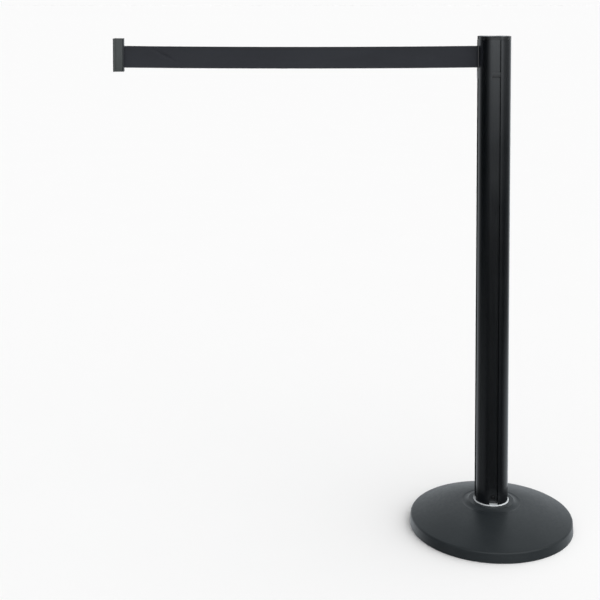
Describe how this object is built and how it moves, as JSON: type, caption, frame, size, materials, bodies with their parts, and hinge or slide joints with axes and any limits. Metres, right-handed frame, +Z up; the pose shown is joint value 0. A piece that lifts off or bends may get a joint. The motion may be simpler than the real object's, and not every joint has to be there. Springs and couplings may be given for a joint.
{
  "type": "retractable belt stanchion",
  "caption": "Free-standing crowd-control post: weighted round base, grooved tube, and a spring-wound belt drawn out to a slide-in clip.",
  "frame": {"origin": "on the floor, on the post's axis, at the middle of the plug's underside", "axes": "+Z up along the post; the belt is drawn out towards -X; -Y is the front, the side seen in the picture"},
  "size_m": [0.8718, 0.31, 0.94],
  "materials": {
    "painted_steel": "satin black powder coat with a fine texture",
    "cast_iron": "raw casting",
    "black_anodised": "satin black anodised, fine lengthwise lines",
    "bare_casting": "bare cast metal, machined flange",
    "zinc_plated": "zinc plated",
    "blackened_steel": "black oxide on steel screws",
    "black_plastic": "fine-textured moulding",
    "grey_plastic": "fine-textured moulding",
    "rubber": "matt",
    "webbing": "woven polyester",
    "spring_steel": "bright, oiled"
  },
  "bodies": {
    "post": {"axle_clip": "spring_steel", "base_cover": "painted_steel", "base_weight": "cast_iron", "bolt_hole_plug": "rubber", "cap_screw": "blackened_steel", "cassette_body": "grey_plastic", "cassette_lid": "grey_plastic", "cassette_screw": "blackened_steel", "flat_washer": "zinc_plated", "floor_pad": "rubber", "foot_flange": "bare_casting", "foot_screw_front": "blackened_steel", "foot_screw_left": "blackened_steel", "foot_screw_rear": "blackened_steel", "foot_screw_right": "blackened_steel", "groove_stop_front": "black_plastic", "groove_stop_rear": "black_plastic", "groove_stop_right": "black_plastic", "guide_pin_front": "zinc_plated", "guide_pin_rear": "zinc_plated", "outlet_bezel": "grey_plastic", "post_extrusion": "black_anodised", "power_spring": "spring_steel", "spool_axle": "zinc_plated", "spring_cover": "grey_plastic", "spring_washer": "zinc_plated", "tie_bolt": "zinc_plated", "top_cap": "black_plastic"},
    "clip": {"belt": "webbing", "clip_body": "black_plastic", "clip_cover": "black_plastic", "clip_screw_upper": "blackened_steel", "clip_screw_lower": "blackened_steel", "belt_end_pin": "zinc_plated"},
    "spool": {"belt_spool": "grey_plastic", "belt_coil": "webbing"}
  },
  "joints": [
    {"name": "belt_pull", "type": "slide", "parent": "post", "child": "clip", "axis": [-1, 0, 0], "range_m": [-0.6715, 1.22], "deforming": ["belt"]},
    {"name": "spool_turn", "type": "hinge", "parent": "post", "child": "spool", "pos_m": [0, 0, 0.901], "axis": [0, 0, 1], "range_deg": [-2900, 5270], "deforming": ["power_spring"]}
  ],
  "couplings": [
    {"joint": "spool_turn", "follows": "belt_pull", "rad_per_m": 75.3}
  ]
}
